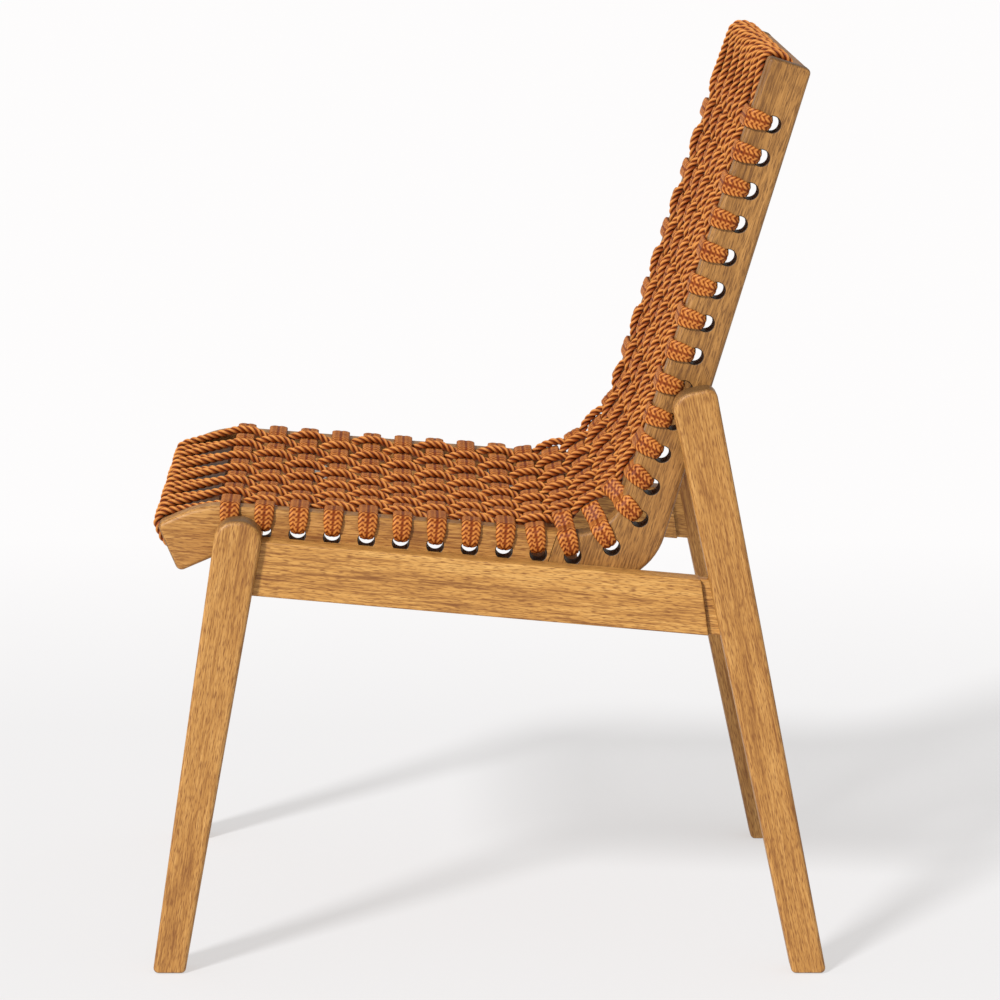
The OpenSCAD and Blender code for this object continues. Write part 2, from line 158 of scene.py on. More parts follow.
def grid_faces(tall, round_, start):
    """Four-sided faces between neighbouring rings of a closed tube of points."""
    i, j = np.meshgrid(np.arange(tall - 1), np.arange(round_), indexing="ij")
    k = (j + 1) % round_
    quads = np.stack([i * round_ + j, i * round_ + k, (i + 1) * round_ + k, (i + 1) * round_ + j], 2)
    return (quads.reshape(-1, 4) + start).tolist()


def make_piece(name, parts, node, finish, left=False):
    """One piece from lists of points in mm and faces. The left copy has x turned over and its faces
    reversed."""
    verts, faces, start = [], [], 0
    for points, some in parts:
        verts.append(points * ([-0.001, 0.001, 0.001] if left else 0.001))
        faces += [[int(v) + start for v in (f[::-1] if left else f)] for f in some]
        start += len(points)
    mesh = bpy.data.meshes.new(name)
    mesh.from_pydata(np.concatenate(verts).tolist(), [], faces)
    mesh.polygons.foreach_set("use_smooth", np.ones(len(mesh.polygons), bool))
    mesh.update()
    mesh.materials.append(finish)
    piece = bpy.data.objects.new(name, mesh)
    bpy.context.scene.collection.objects.link(piece)
    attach(piece, "root")
    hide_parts(node)
    return piece


def rgb(code):
    """An sRGB hex colour as linear light: ((c + 0.055) / 1.055) ** 2.4 above the toe."""
    c = np.array([int(code[i:i + 2], 16) for i in (1, 3, 5)]) / 255
    return (*np.where(c <= 0.04045, c / 12.92, ((c + 0.055) / 1.055) ** 2.4).tolist(), 1.0)


def add(tree, kind, settings=(), **links):
    """Adds one node. settings are (name, value) pairs for its properties, or its inputs by name or number;
    a link given as i0=..., i1=... joins a socket to that input."""
    n = tree.nodes.new(kind)
    for key, value in settings:
        if isinstance(key, str) and hasattr(n, key):
            setattr(n, key, value)
        else:
            n.inputs[key].default_value = value
    for key, socket in links.items():
        tree.links.new(socket, n.inputs[int(key[1:])])
    return n


def hardwood(name, turn, shade="#7A4A1F", body="#AB783A", light="#C69453", shift=(0.0, 0.0, 0.0)):
    """Solid teak-like hardwood, planed, sanded and sealed with a satin clear coat: honey brown, with fine
    open pores as short dark dashes along the grain, which runs upright until turned by these three angles."""
    finish = bpy.data.materials.new(name)
    finish.use_nodes = True
    t = finish.node_tree
    t.nodes.clear()
    place = add(t, "ShaderNodeTexCoord")
    angles = tuple(math.radians(a) for a in turn)
    turned = add(t, "ShaderNodeMapping", [("Rotation", angles), ("Location", shift)],
                 i0=place.outputs["Object"])
    # Broad growth bands, about 18 mm across and a few hundred mm long
    wide = add(t, "ShaderNodeMapping", [("Scale", (55.0, 55.0, 4.0))], i0=turned.outputs[0])
    bands = add(t, "ShaderNodeTexNoise", [("Scale", 1.0), ("Detail", 3.0), ("Distortion", 0.6)],
                i0=wide.outputs[0])
    # Fine figure, 2 mm across and about 40 mm long
    fine = add(t, "ShaderNodeMapping", [("Scale", (480.0, 480.0, 26.0))], i0=turned.outputs[0])
    figure = add(t, "ShaderNodeTexNoise", [("Scale", 1.0), ("Detail", 4.0), ("Roughness", 0.6)],
                 i0=fine.outputs[0])
    # Pores, 0.9 mm wide and 8 mm long, a little coarser than real so that they show
    small = add(t, "ShaderNodeMapping", [("Scale", (1100.0, 1100.0, 120.0))], i0=turned.outputs[0])
    dashes = add(t, "ShaderNodeTexNoise", [("Scale", 1.0), ("Detail", 1.0)], i0=small.outputs[0])
    pores = add(t, "ShaderNodeMapRange", [("From Min", 0.49), ("From Max", 0.68), ("To Max", 0.85)],
                i0=dashes.outputs["Fac"])
    mixed = add(t, "ShaderNodeMath", [("operation", "MULTIPLY_ADD"), (1, 0.55)],
                i0=bands.outputs["Fac"], i2=figure.outputs["Fac"])
    tones = add(t, "ShaderNodeMapRange", [("From Min", 0.52), ("From Max", 1.02)], i0=mixed.outputs[0])
    ramp = add(t, "ShaderNodeValToRGB", i0=tones.outputs[0])
    ramp.color_ramp.elements[0].position, ramp.color_ramp.elements[0].color = 0.0, rgb(light)
    ramp.color_ramp.elements[1].position, ramp.color_ramp.elements[1].color = 1.0, rgb(shade)
    ramp.color_ramp.elements.new(0.55).color = rgb(body)
    dark = add(t, "ShaderNodeMix", [("data_type", "RGBA"), (7, rgb(shade))],
               i6=ramp.outputs[0], i0=pores.outputs[0])
    # Cut ends, where the surface faces along the grain, take the finish darker, as end grain does, and
    # greyer: the grey is a painted reflection of the white surround
    facing = add(t, "ShaderNodeMapping", [("vector_type", "VECTOR"), ("Rotation", angles)],
                 i0=place.outputs["Normal"])
    along = add(t, "ShaderNodeMath", [("operation", "ABSOLUTE")],
                i0=add(t, "ShaderNodeSeparateXYZ", i0=facing.outputs[0]).outputs["Z"])
    cut = add(t, "ShaderNodeMapRange", [("From Min", 0.45), ("From Max", 0.95), ("To Max", 0.75)],
              i0=along.outputs[0])
    ended = add(t, "ShaderNodeMix", [("data_type", "RGBA"), (7, rgb("#4E3820"))],
                i6=dark.outputs[2], i0=cut.outputs[0])
    rough = add(t, "ShaderNodeMapRange", [("To Min", 0.42), ("To Max", 0.56)], i0=figure.outputs["Fac"])
    relief = add(t, "ShaderNodeMath", [("operation", "MULTIPLY_ADD"), (1, -0.8)],
                 i0=pores.outputs[0], i2=figure.outputs["Fac"])
    bump = add(t, "ShaderNodeBump", [("Strength", 0.35), ("Distance", 0.00035)])
    t.links.new(relief.outputs[0], bump.inputs["Height"])
    skin = add(t, "ShaderNodeBsdfPrincipled", [("IOR", 1.45), ("Specular IOR Level", 0.4),
                                               ("Coat Weight", 0.06), ("Coat Roughness", 0.4)])
    t.links.new(ended.outputs[2], skin.inputs["Base Color"])
    t.links.new(rough.outputs[0], skin.inputs["Roughness"])
    t.links.new(bump.outputs[0], skin.inputs["Normal"])
    add(t, "ShaderNodeOutputMaterial", i0=skin.outputs[0])
    return finish


def edge_meet(edge, point, slope):
    """Where an edge meets the line through a point [y, z] that rises by slope per mm of y."""
    z = (point[1] + slope * (edge[0] - point[0])) / (1 - slope * edge[1])
    return edge_y(edge, z), z


def leg_corners(front, back, top, tilt, rounds):
    """The four corners of a leg's side view: foot front, foot back, then the crown, cut at the angle tilt.
    The crown's edge is eased a little more than the sides."""
    middle = ((edge_y(front, top) + edge_y(back, top)) / 2, top)
    slope = math.tan(math.radians(tilt))
    return [(front[0], 0, FOOT_R, 0.5, 6), (back[0], 0, FOOT_R, 1, 6),
            (*edge_meet(back, middle, slope), rounds[1], 1.35, 16),
            (*edge_meet(front, middle, slope), rounds[0], 1, 16)]


for end, edges, top, tilt, rounds in (("front", (FRONT_EDGE, FRONT_BACK), 425.5, 0.0, (19, 19)),
                                      ("rear", (REAR_EDGE, REAR_BACK), 545.5, 12.0, (18, 10))):
    leg_wood = hardwood(f"sealed_teak_{end}_leg", (9.1 if end == "front" else -12.0, 0, 0))
    shape = plate(leg_corners(*edges, top, tilt, rounds), LEG_IN, LEG_OUT, LEG_EASE)
    for hand in ("left", "right"):
        make_piece(f"{end}_leg_board_{hand}", [shape], f"{end}_leg_{hand}", leg_wood,
                   hand == "left")

# ---------------------------------------------------------------------------
# Side rails. One straight board a side, butted against the front leg. It stops
# short of the rear leg, where only a thinner tongue goes on into a mortise.
# ---------------------------------------------------------------------------
CORNER = np.array([108.0, 406.0])
RAIL_SLOPE, RAIL_DROP, RAIL_HIGH = math.radians(5.0), 28.6, 51.0
RAIL_END = (245.3, -0.1486)
RAIL_IN, RAIL_OUT, RAIL_EASE = 215.0, 241.0, 1.6
TONGUE_IN, TONGUE_OUT, TONGUE_TRIM, TENON = 221.0, 235.0, 0.5, 3.0
rail_up = np.array([math.sin(RAIL_SLOPE), math.cos(RAIL_SLOPE)])


def rail_corners(front_move, rear_edge, trim, rear_round):
    """The rail's side view: two lines down to the rear, between the front leg's edge moved by front_move in y
    and another edge at the rear."""
    ends = [edge_meet((edge[0] + move, edge[1]), CORNER - drop * rail_up, -math.tan(RAIL_SLOPE))
            for drop in (RAIL_DROP + RAIL_HIGH - trim, RAIL_DROP + trim)
            for edge, move in ((FRONT_BACK, front_move), (rear_edge, 0.0))]
    return [(*ends[0], 0.3, 1, 3), (*ends[1], 1.0, 1, 3),
            (*ends[3], rear_round, 1, 8), (*ends[2], 0.3, 0.1, 3)]


rail_wood = hardwood("sealed_teak_rail", (95.0, 0, 0), light="#D3A15A", body="#BA8542", shift=(0.3, 0.1, 0.7))
rail_shape = [plate(rail_corners(0.0, RAIL_END, 0.0, 3.5), RAIL_IN, RAIL_OUT, RAIL_EASE),
              plate(rail_corners(-TENON, (REAR_EDGE[0] + TENON, REAR_EDGE[1]), TONGUE_TRIM, 0.3),
                    TONGUE_IN, TONGUE_OUT, 0.4)]
for hand in ("left", "right"):
    make_piece(f"side_rail_board_{hand}", rail_shape, f"side_rail_{hand}", rail_wood,
               hand == "left")

# ---------------------------------------------------------------------------
# Seat rails. The lower half of each L-shaped frame: a straight board with a
# bent nose, drilled for the straps, glued to the stile at a slanted joint.
# ---------------------------------------------------------------------------
SEAT, LEAN = math.radians(4.4), math.radians(17.5)
BEND_R, BEND_A, NOSE_RUN, SEAT_RUN = 90.0, math.radians(27.9), 25.0, 350.0
WIDE, NOSE_WIDE, JOINT = 45.0, 48.5, 48.0
FRAME_IN, FRAME_OUT, FRAME_EASE = 190.0, RAIL_IN, 4.2
# Holes: how deep their centres lie below the frame's upper edge, and their steps along it
DEEP, PITCH, KNEE_PITCH, KNEE_FIRST = 21.5, 31.6, 37.2, 1.4
# The last strap on the seat, the last before and the first after those spread evenly round the knee
STRAPS, LAST_SEAT, EVEN_FROM, EVEN_TO = 25, 11, 9, 16
KNEE_R, ROPE_KNEE_R = 43.0, 115.0
seat_fwd = np.array([-math.cos(SEAT), math.sin(SEAT)])
seat_up = np.array([math.sin(SEAT), math.cos(SEAT)])
back_up = np.array([math.sin(LEAN), math.cos(LEAN)])
back_fwd = np.array([-math.cos(LEAN), math.sin(LEAN)])
NOSE = BEND_A - SEAT
nose_fwd = np.array([-math.cos(NOSE), -math.sin(NOSE)])
nose_up = np.array([-math.sin(NOSE), math.cos(NOSE)])
KNEE_TURN = math.pi / 2 - LEAN + SEAT
KNEE_OPEN = (math.pi - KNEE_TURN) / 2
bend_centre = CORNER + SEAT_RUN * seat_fwd - BEND_R * seat_up
nose_start = bend_centre + BEND_R * nose_up
knee_tangent = KNEE_R / math.tan(KNEE_OPEN)
knee_centre = CORNER + knee_tangent * seat_fwd + KNEE_R * seat_up
knee_arc = (KNEE_R + DEEP) * KNEE_TURN
rope_tangent = ROPE_KNEE_R / math.tan(KNEE_OPEN)
rope_centre = CORNER + rope_tangent * seat_fwd + ROPE_KNEE_R * seat_up
rope_arc = ROPE_KNEE_R * KNEE_TURN
bend_t = rope_tangent - SEAT_RUN
nose_t = bend_t - BEND_R * BEND_A


def ray(angle):
    """Unit vectors [y, z] at these angles, given with a last axis of length one."""
    return np.concatenate([np.cos(angle), np.sin(angle)], -1)


def weave_point(t, lift):
    """The line of the weave in the side view, at distance t along it from where its knee starts, and lift
    above it: straight nose, arc of the front bend, straight seat, arc of the knee, straight back."""
    t, lift = np.broadcast_arrays(np.asarray(t, float), np.asarray(lift, float))
    t, lift = t[..., None], lift[..., None]
    knee = -math.pi / 2 - SEAT + t / ROPE_KNEE_R
    bend = math.pi / 2 - SEAT + (bend_t - t) / BEND_R
    return np.select(
        [t > rope_arc, t > 0, t > bend_t, t > nose_t],
        [CORNER + (rope_tangent + t - rope_arc) * back_up + lift * back_fwd,
         rope_centre + (ROPE_KNEE_R - lift) * ray(knee),
         CORNER + (rope_tangent - t) * seat_fwd + lift * seat_up,
         bend_centre + (BEND_R + lift) * ray(bend)],
        nose_start + (nose_t - t) * nose_fwd + lift * nose_up)


def hole_s(k):
    """Distance of hole k along the frame's middle line from where the knee starts: even straight pitches with
    two wider steps round the knee."""
    return np.where(k <= LAST_SEAT, KNEE_FIRST - (LAST_SEAT - k) * PITCH,
                    KNEE_FIRST + KNEE_PITCH * np.where(k == LAST_SEAT + 1, 1, 2)
                    + np.maximum(k - LAST_SEAT - 2, 0) * PITCH)


def frame_mid(s):
    """The frame's line of holes at distance s: straight, the knee's arc, straight."""
    if s < 0:
        return CORNER + (knee_tangent - s) * seat_fwd - DEEP * seat_up
    if s > knee_arc:
        return CORNER + (knee_tangent + s - knee_arc) * back_up - DEEP * back_fwd
    return knee_centre + (KNEE_R + DEEP) * ray(np.array([-math.pi / 2 - SEAT + s / (KNEE_R + DEEP)]))


def straight_t(k):
    """Where hole k would meet the weave if the weave followed the frame's edge."""
    return np.where(k <= LAST_SEAT, hole_s(k) - knee_tangent + rope_tangent,
                    rope_arc - rope_tangent + knee_tangent + hole_s(k) - knee_arc)


strap_no = np.arange(1, STRAPS + 1)
even_share = (strap_no - EVEN_FROM) / (EVEN_TO - EVEN_FROM)
even_t = straight_t(EVEN_FROM) + even_share * (straight_t(EVEN_TO) - straight_t(EVEN_FROM))
strap_t = np.where((strap_no > EVEN_FROM) & (strap_no < EVEN_TO), even_t, straight_t(strap_no))
hole_at = np.array([weave_point(t, -DEEP) if t < bend_t else frame_mid(hole_s(k))
                    for k, t in zip(strap_no, strap_t)])
bend_reach = BEND_R * math.tan(BEND_A / 2)
bend_corner = CORNER + (SEAT_RUN + bend_reach) * seat_fwd
under = CORNER - WIDE * seat_up
nose_tip = bend_corner + (bend_reach + NOSE_RUN) * nose_fwd
hollow = under - (NOSE_WIDE + (under - nose_tip) @ nose_up) / (seat_fwd @ nose_up) * seat_fwd
joint_top = CORNER + JOINT * seat_fwd
joint_low = joint_top - WIDE / (back_up @ seat_up) * back_up
nose_mid, joint_mid = nose_tip - DEEP * nose_up, (joint_top + joint_low) / 2
seat_rail_corners = [(*nose_tip, 5, 1, 6), (*nose_mid, 0, 1, 1), (*(nose_tip - NOSE_WIDE * nose_up), 6, 1, 8),
                     (*hollow, BEND_R - WIDE, 1, 10), (*joint_low, 0, 0.12, 2),
                     (*joint_mid, 0, 0.12, 1), (*joint_top, 0, 1, 2), (*bend_corner, BEND_R, 1, 14)]
seat_wood = hardwood("sealed_teak_seat_rail", (94.4, 0, 0), shift=(0.9, 0.4, 0.2))
# Near-black wood for the walls inside the holes: painted shade, as those walls lie in shadow behind the
# straps
hole_shade_wood = hardwood("painted_shade_hole_wall", (0, 90, 0), shade="#0E0602", body="#1F1006", light="#2E190B")
HOLE_REACH = 8.2


def paint_hole_shade(piece, holes):
    """Paints shade into the drilled holes: the small faces inside them get a near-black finish, those whose
    centre lies within HOLE_REACH of a hole's centre in the side view, which is the hole's radius and part of
    its eased rim."""
    mesh = piece.data
    centre, sides = np.empty(len(mesh.polygons) * 3), np.empty(len(mesh.polygons), int)
    mesh.polygons.foreach_get("center", centre)
    mesh.polygons.foreach_get("loop_total", sides)
    apart = np.linalg.norm(centre.reshape(-1, 3)[:, None, 1:] * 1000 - holes[None], axis=2).min(1)
    mesh.materials.append(hole_shade_wood)
    mesh.polygons.foreach_set("material_index", ((apart < HOLE_REACH) & (sides == 4)).astype(np.int32))


rail_holes, stile_holes = hole_at[:LAST_SEAT - 1], hole_at[LAST_SEAT - 1:]
seat_rail_shape = plate(seat_rail_corners, FRAME_IN, FRAME_OUT, FRAME_EASE, rail_holes, (nose_mid, joint_mid))
for hand in ("left", "right"):
    paint_hole_shade(make_piece(f"seat_rail_board_{hand}", [seat_rail_shape], f"seat_rail_{hand}", seat_wood,
                          hand == "left"), rail_holes)

# ---------------------------------------------------------------------------
# Back stiles. The upper half of each L-shaped frame, cut with its knee from
# one plank, so that its grain runs up the back and across the short foot.
# ---------------------------------------------------------------------------
BACK_RUN, TOP_WIDE, REAR_LEAN = 460.0, 40.0, LEAN - math.radians(1.0)
rear_up = np.array([math.sin(REAR_LEAN), math.cos(REAR_LEAN)])
stile_top = CORNER + BACK_RUN * back_up
stile_rear = stile_top - TOP_WIDE * back_fwd
outer_knee = stile_rear - ((stile_rear - CORNER) @ seat_up + WIDE) / (rear_up @ seat_up) * rear_up
stile_corners = [(*joint_top, 0, 0.12, 2), (*joint_mid, 0, 0.12, 1), (*joint_low, 0, 1, 2),
                 (*outer_knee, 60, 1, 14), (*stile_rear, 5, 1, 6),
                 (*((stile_top + stile_rear) / 2), 0, 1, 1), (*stile_top, 4, 1, 6), (*CORNER, KNEE_R, 1, 18)]
stile_wood = hardwood("sealed_teak_stile", (17.3, 0, 0), shade="#66401A", body="#956731", light="#B38145",
                      shift=(0.5, 0.8, 0.1))
stile_shape = plate(stile_corners, FRAME_IN, FRAME_OUT, FRAME_EASE, stile_holes,
                    (joint_mid, (stile_top + stile_rear) / 2))
for hand in ("left", "right"):
    paint_hole_shade(make_piece(f"back_stile_board_{hand}", [stile_shape], f"back_stile_{hand}", stile_wood,
                          hand == "left"), stile_holes)

# ---------------------------------------------------------------------------
# Bars and bolts. Two rope bars pegged between the frames, the strip behind
# the crest, the stretcher under the seat, and the steel bolts to the rails.
# ---------------------------------------------------------------------------
# The two rope bars are near black: painted shade, so that the gaps between the ropes in front of them read as
# dark
shaded_bar_wood = hardwood("painted_shade_bar_wood", (0, 90, 0), shade="#2E1A0C", body="#4A2F18", light="#5E3E22")
cross_wood = hardwood("sealed_teak_cross_piece", (0, 90, 0), body="#93642F", light="#AF8045",
                      shift=(0.2, 0.2, 0.9))
for name, finish in (("front_bar", shaded_bar_wood), ("crest_bar", shaded_bar_wood), ("crest_cover", cross_wood),
                     ("rear_stretcher", cross_wood)):
    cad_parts[name].material_slots[0].material = finish

bolt_steel = bpy.data.materials.new("zinc_plated_steel_turned")
bolt_steel.use_nodes = True
tree = bolt_steel.node_tree
tree.nodes.clear()
grain = add(tree, "ShaderNodeTexNoise", [("Scale", 900.0), ("Detail", 2.0)],
            i0=add(tree, "ShaderNodeTexCoord").outputs["Object"])
dull = add(tree, "ShaderNodeMapRange", [("To Min", 0.28), ("To Max", 0.48)], i0=grain.outputs["Fac"])
metal = add(tree, "ShaderNodeBsdfPrincipled", [("Base Color", rgb("#B9B8B2")), ("Metallic", 1.0)])
tree.links.new(dull.outputs[0], metal.inputs["Roughness"])
add(tree, "ShaderNodeOutputMaterial", i0=metal.outputs[0])
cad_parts["frame_bolts"].material_slots[0].material = bolt_steel

# ---------------------------------------------------------------------------
# Straps. Twenty-five flat braided straps across the seat and back, woven
# over and under the ropes, folded over the frames and down into the holes.
# ---------------------------------------------------------------------------
ROPES, ROPE_PITCH, SAG = 12, 33.0, 7.0
HALF_WIDE, HALF_THICK, STRAP_WAVE = 9.0, 2.2, 2.6
rope_no = np.arange(1, ROPES + 1)
rope_x = (rope_no - (ROPES + 1) / 2) * ROPE_PITCH
rope_over = (rope_no[:, None] + strap_no[None]) % 2 == 0
# How far the weave lies above the frames' edges: it sags towards the middle, less beside the end bars
ease = np.minimum(1, 0.1 + 0.3 * np.minimum(strap_no, STRAPS + 1 - strap_no))
level = -SAG * ease[None] * (1 - (rope_x[:, None] / FRAME_IN) ** 2)


def smooth_path(points, step, soft):
    """Points along a chain at even steps, after averaging it with a bell-shaped weight soft mm wide, so that
    its corners become round bends. The two ends keep their places."""
    tick = 0.25
    gap = np.linalg.norm(np.diff(points, axis=0), axis=1)
    run = np.concatenate([[0], np.cumsum(gap)])
    fine = np.arange(0, run[-1] + tick / 2, tick)
    dense = np.stack([np.interp(fine, run, points[:, i]) for i in range(points.shape[1])], 1)
    pad = int(4 * soft / tick)
    head, tail = 2 * dense[0] - dense[pad:0:-1], 2 * dense[-1] - dense[-2:-pad - 2:-1]
    bell = np.exp(-0.5 * (np.arange(-pad, pad + 1) * tick / soft) ** 2)
    bell /= bell.sum()
    padded = np.concatenate([head, dense, tail])
    even = np.stack([np.convolve(padded[:, i], bell, "valid") for i in range(points.shape[1])], 1)
    run = np.concatenate([[0], np.cumsum(np.linalg.norm(np.diff(even, axis=0), axis=1))])
    count = int(round(run[-1] / step))
    s = np.linspace(0, run[-1], count + 1)
    return s, np.stack([np.interp(s, run, even[:, i]) for i in range(points.shape[1])], 1)


def across_path(path):
    """Unit vectors at a right angle to a path in its plane, on its left."""
    way = np.gradient(path, axis=0)
    way /= np.linalg.norm(way, axis=1, keepdims=True)
    return np.stack([-way[:, 1], way[:, 0]], 1)


def strap_side(k, hand):
    """Half of strap k from the middle outwards, as [distance from the middle, height above the hole]: level
    with the ropes it crosses, over the frame's rounded edge, in through the hole and up on the inner face.
    Its three turns are quarter circles."""
    up = weave_point(strap_t[k], 0) - hole_at[k]
    reach = np.linalg.norm(up)
    order = np.arange(ROPES // 2, ROPES) if hand > 0 else np.arange(ROPES // 2 - 1, -1, -1)
    x = np.abs(rope_x[order])
    high = reach + level[order, k] + np.where(rope_over[order, k], -STRAP_WAVE, STRAP_WAVE)
    # It stays at one height for 5 mm on each side of a rope's middle
    across = np.stack([np.stack([x - 5, x + 5], 1).ravel(), np.repeat(high, 2)], 1)
    a = np.linspace(math.pi / 2, 0, 7)[:, None]
    inner_edge, tail_end = [FRAME_IN + 3, DEEP + 2.3], [FRAME_IN - 2.4, 16.0]
    shoulder = [FRAME_OUT - 4.4, DEEP - 4.5] + 6.8 * ray(a)
    turn_in = [FRAME_OUT - 2.6, 8.0] + 5 * ray(a - math.pi / 2)
    turn_up = [FRAME_IN + 2.6, 6.5] + 5 * ray(a - math.pi)
    return np.concatenate([across, [inner_edge], shoulder, turn_in, turn_up, [tail_end]])


def braid(run, across, flip):
    """Height of the flat braid's strands, from -1 in a crease to 1 on a crown. Columns run along the strap.
    In each, rounded strands cross at a slant, and neighbouring columns slant opposite ways."""
    column_wide, strand_wide, lean = 4.5, 4.2, 1.1
    column = np.floor(across / column_wide)
    part = across / column_wide - column
    slant = np.where((column + flip) % 2 == 0, 1.0, -1.0)
    strand = np.abs(np.sin(np.pi * (run / strand_wide + slant * (part - 0.5) * lean))) ** 0.7
    return 2 * strand * (0.5 + 0.5 * np.sin(np.pi * part) ** 0.5) - 1


def tube_piece(name, rings, crown, run, around, node, finish):
    """A closed tube of rings with pole points at both ends. Its map runs along and around it, with 100 mm to
    a unit, and its crown attribute is 0 in the creases and 1 on the crowns."""
    tall, round_ = rings.shape[:2]
    verts = np.concatenate([rings.reshape(-1, 3), rings[0].mean(0)[None], rings[-1].mean(0)[None]])
    quads = grid_faces(tall, round_, 0)
    j = np.arange(round_)
    k = (j + 1) % round_
    last = (tall - 1) * round_
    ends = np.concatenate([np.stack([k, j, np.full(round_, tall * round_)], 1),
                           np.stack([last + j, last + k, np.full(round_, tall * round_ + 1)], 1)])
    mesh = bpy.data.meshes.new(name)
    mesh.from_pydata((verts * 0.001).tolist(), [], quads + ends.tolist())
    mesh.polygons.foreach_set("use_smooth", np.ones(len(mesh.polygons), bool))
    mesh.update()
    at = mesh.attributes.new("crown", "FLOAT", "POINT")
    at.data.foreach_set("value", np.concatenate([crown.ravel(), [0.3, 0.3]]).astype(np.float32))
    i, j = np.divmod(np.arange((tall - 1) * round_), round_)
    along = np.stack([run[i], run[i], run[i + 1], run[i + 1]], 1)
    turns = np.stack([around[j], around[j + 1], around[j + 1], around[j]], 1)
    flat = np.stack([along.ravel(), turns.ravel()], 1)
    flat = np.concatenate([flat, np.zeros((ends.size, 2))]) * 0.01
    mesh.uv_layers.new(name="along").data.foreach_set("uv", flat.ravel().astype(np.float32))
    mesh.materials.append(finish)
    piece = bpy.data.objects.new(name, mesh)
    bpy.context.scene.collection.objects.link(piece)
    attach(piece, "root")
    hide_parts(node)
    return piece


def twine(name, deep, body, light, fine):
    """Spun twine with a slight lustre: rust orange, with a painted highlight on the crowns and painted shade,
    near brown, in the creases, and faint streaks of fibre along it. fine is how many of the widest streaks
    lie across
    100 mm, with three finer sets inside them."""
    finish = bpy.data.materials.new(name)
    finish.use_nodes = True
    t = finish.node_tree
    t.nodes.clear()
    crown = add(t, "ShaderNodeAttribute", [("attribute_name", "crown")])
    own = add(t, "ShaderNodeUVMap", [("uv_map", "along")])
    drawn = add(t, "ShaderNodeMapping", [("Scale", (7.0, fine, 1.0))], i0=own.outputs[0])
    fibre = add(t, "ShaderNodeTexNoise", [("Scale", 1.0), ("Detail", 3.0), ("Roughness", 0.65)],
                i0=drawn.outputs[0])
    patch = add(t, "ShaderNodeTexNoise", [("Scale", 38.0), ("Detail", 2.0)],
                i0=add(t, "ShaderNodeTexCoord").outputs["Object"])
    fibre_and_crease_shade = add(t, "ShaderNodeMath", [("operation", "MULTIPLY_ADD"), (1, 0.42)],
               i0=fibre.outputs["Fac"], i2=crown.outputs["Fac"])
    both = add(t, "ShaderNodeMath", [("operation", "MULTIPLY_ADD"), (1, 0.30)],
               i0=patch.outputs["Fac"], i2=fibre_and_crease_shade.outputs[0])
    tones = add(t, "ShaderNodeMapRange", [("From Min", 0.36), ("From Max", 1.30)], i0=both.outputs[0])
    ramp = add(t, "ShaderNodeValToRGB", i0=tones.outputs[0])
    ramp.color_ramp.elements[0].position, ramp.color_ramp.elements[0].color = 0.0, rgb(deep)
    ramp.color_ramp.elements[1].position, ramp.color_ramp.elements[1].color = 1.0, rgb(light)
    ramp.color_ramp.elements.new(0.52).color = rgb(body)
    bump = add(t, "ShaderNodeBump", [("Strength", 0.5), ("Distance", 0.0004)])
    t.links.new(fibre.outputs["Fac"], bump.inputs["Height"])
    skin = add(t, "ShaderNodeBsdfPrincipled", [("Roughness", 0.48), ("IOR", 1.46),
                                               ("Specular IOR Level", 0.16)], i0=ramp.outputs[0])
    t.links.new(bump.outputs[0], skin.inputs["Normal"])
    add(t, "ShaderNodeOutputMaterial", i0=skin.outputs[0])
    return finish


strap_twine = twine("braided_twine_strap", "#220801", "#7E370D", "#CC833E", 9.0)
SIDES, RING_GAP, STRAP_SOFT = 36, 4.6 / 6, 1.1
# The section is a flat oval: cosine and sine, both to the power 0.8
theta = np.arange(SIDES) / SIDES * 2 * np.pi
side_v = np.sign(np.cos(theta)) * np.abs(np.cos(theta)) ** 0.8
side_h = np.sign(np.sin(theta)) * np.abs(np.sin(theta)) ** 0.8
